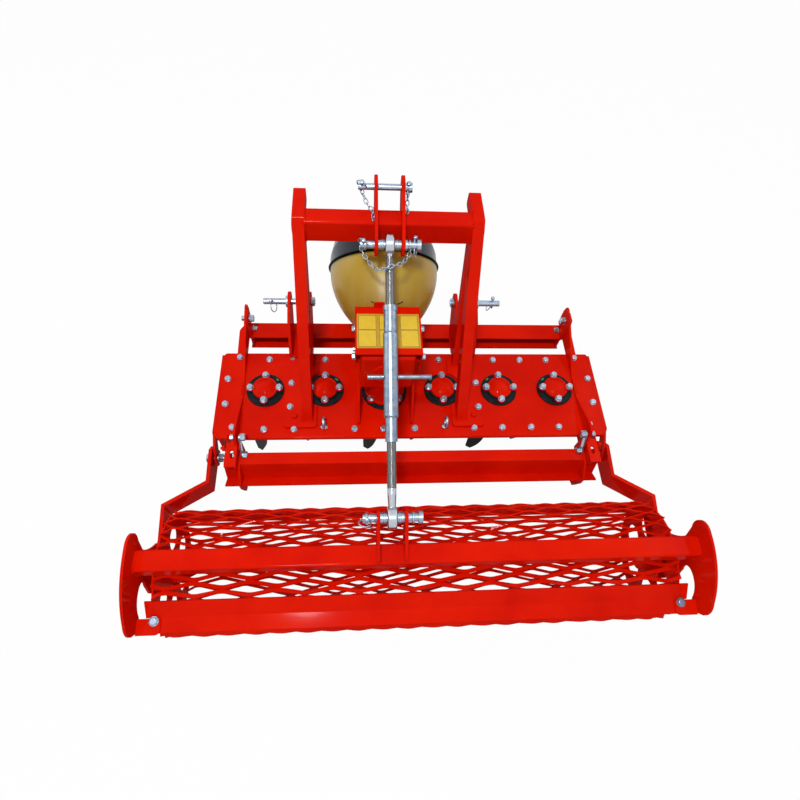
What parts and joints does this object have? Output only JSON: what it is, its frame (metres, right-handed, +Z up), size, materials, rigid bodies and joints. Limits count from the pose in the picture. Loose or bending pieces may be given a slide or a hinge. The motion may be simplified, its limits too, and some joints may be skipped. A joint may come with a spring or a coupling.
{
  "type": "power harrow",
  "caption": "Small tractor-mounted power harrow: coupled vertical tined rotors under a flat gear trough, an arched hitch frame, a shielded input and a mesh roller set by a screw link",
  "frame": {"origin": "bottom centre of the bounding box, on the ground under the machine", "axes": "+X right as seen from behind, +Y forward in the direction of travel, +Z up"},
  "size_m": [1.684, 1.2696, 0.962],
  "materials": {
    "red_paint": "gloss",
    "zinc": "zinc plated",
    "black_cast": "black painted cast iron",
    "tine_steel": "black painted forged steel",
    "yellow_plastic": "moulded",
    "black_rubber": "matt",
    "bare_steel": "turned"
  },
  "bodies": {
    "harrow": {"adjuster_top_pin": "zinc", "arm_pivot_bolts": "zinc", "bearing_caps": "red_paint", "bearing_rings": "black_cast", "cross_tube": "red_paint", "front_levelling_bar": "red_paint", "gearbox": "red_paint", "gearbox_hood": "red_paint", "gearbox_ribs": "red_paint", "headstock_feet": "red_paint", "headstock_leg_left": "red_paint", "headstock_leg_right": "red_paint", "headstock_post_left": "red_paint", "headstock_post_right": "red_paint", "hitch_ears": "red_paint", "lifting_eyes": "zinc", "link_bracket_left": "red_paint", "link_bracket_right": "red_paint", "link_pin_left": "zinc", "link_pin_right": "zinc", "pto_guard": "yellow_plastic", "pto_guard_collar": "black_rubber", "rear_levelling_bar": "red_paint", "side_bracket_left": "red_paint", "side_bracket_right": "red_paint", "side_plate_left": "red_paint", "side_plate_right": "red_paint", "top_link_pin": "zinc", "trough": "red_paint", "trough_cover": "red_paint"},
    "rotor_1": {"rotor_1_hub": "tine_steel", "rotor_1_tines": "tine_steel"},
    "rotor_2": {"rotor_2_hub": "tine_steel", "rotor_2_tines": "tine_steel"},
    "rotor_3": {"rotor_3_hub": "tine_steel", "rotor_3_tines": "tine_steel"},
    "rotor_4": {"rotor_4_hub": "tine_steel", "rotor_4_tines": "tine_steel"},
    "rotor_5": {"rotor_5_hub": "tine_steel", "rotor_5_tines": "tine_steel"},
    "rotor_6": {"rotor_6_hub": "tine_steel", "rotor_6_tines": "tine_steel"},
    "input_shaft": {"input_shaft": "bare_steel"},
    "roller_frame": {"roller_arm_left": "red_paint", "roller_arm_right": "red_paint", "roller_end_plate_left": "red_paint", "roller_end_plate_right": "red_paint", "roller_beam": "red_paint", "adjuster_lugs": "red_paint", "adjuster_low_pin": "zinc", "scraper_bar": "red_paint", "drum_bearings": "black_cast"},
    "roller": {"drum_mesh": "red_paint", "drum_discs": "red_paint"},
    "adjuster_upper": {"adjuster_upper_rod": "zinc"},
    "adjuster_barrel": {"adjuster_barrel": "zinc", "adjuster_locknut": "zinc", "adjuster_handle": "zinc"},
    "adjuster_lower": {"adjuster_lower_rod": "zinc"}
  },
  "joints": [
    {"name": "rotor_1_spin", "type": "hinge", "parent": "harrow", "child": "rotor_1", "pos_m": [-0.525, 0.1645, 0.2], "axis": [0, 0, 1], "continuous": true},
    {"name": "rotor_2_spin", "type": "hinge", "parent": "harrow", "child": "rotor_2", "pos_m": [-0.315, 0.1645, 0.2], "axis": [0, 0, 1], "continuous": true},
    {"name": "rotor_3_spin", "type": "hinge", "parent": "harrow", "child": "rotor_3", "pos_m": [-0.105, 0.1645, 0.2], "axis": [0, 0, 1], "continuous": true},
    {"name": "rotor_4_spin", "type": "hinge", "parent": "harrow", "child": "rotor_4", "pos_m": [0.105, 0.1645, 0.2], "axis": [0, 0, 1], "continuous": true},
    {"name": "rotor_5_spin", "type": "hinge", "parent": "harrow", "child": "rotor_5", "pos_m": [0.315, 0.1645, 0.2], "axis": [0, 0, 1], "continuous": true},
    {"name": "rotor_6_spin", "type": "hinge", "parent": "harrow", "child": "rotor_6", "pos_m": [0.525, 0.1645, 0.2], "axis": [0, 0, 1], "continuous": true},
    {"name": "input_spin", "type": "hinge", "parent": "harrow", "child": "input_shaft", "pos_m": [-0.105, 0.1645, 0.557], "axis": [0, 1, 0], "continuous": true},
    {"name": "roller_frame_tilt", "type": "hinge", "parent": "harrow", "child": "roller_frame", "pos_m": [0, -0.0505, 0.24], "axis": [1, 0, 0], "range_deg": [-16, 4]},
    {"name": "roller_spin", "type": "hinge", "parent": "roller_frame", "child": "roller", "pos_m": [0, -0.4255, 0.195], "axis": [1, 0, 0], "continuous": true},
    {"name": "adjuster_swing", "type": "hinge", "parent": "harrow", "child": "adjuster_upper", "pos_m": [-0.105, 0.3745, 0.841], "axis": [1, 0, 0], "range_deg": [-3.04, 0.91]},
    {"name": "adjuster_barrel_slide", "type": "slide", "parent": "adjuster_upper", "child": "adjuster_barrel", "axis": [0, -0.9121, -0.41], "range_m": [-0.0544, 0.014]},
    {"name": "adjuster_rod_slide", "type": "slide", "parent": "adjuster_barrel", "child": "adjuster_lower", "axis": [0, -0.9121, -0.41], "range_m": [-0.0544, 0.014]}
  ],
  "couplings": [
    {"joint": "rotor_2_spin", "follows": "rotor_1_spin", "ratio": -1},
    {"joint": "rotor_3_spin", "follows": "rotor_1_spin", "ratio": 1},
    {"joint": "rotor_4_spin", "follows": "rotor_1_spin", "ratio": -1},
    {"joint": "rotor_5_spin", "follows": "rotor_1_spin", "ratio": 1},
    {"joint": "rotor_6_spin", "follows": "rotor_1_spin", "ratio": -1},
    {"joint": "input_spin", "follows": "rotor_1_spin", "ratio": 1.45},
    {"joint": "adjuster_swing", "follows": "roller_frame_tilt", "ratio": 0.1776},
    {"joint": "adjuster_barrel_slide", "follows": "roller_frame_tilt", "m_per_rad": 0.19309},
    {"joint": "adjuster_rod_slide", "follows": "roller_frame_tilt", "m_per_rad": 0.19309}
  ]
}
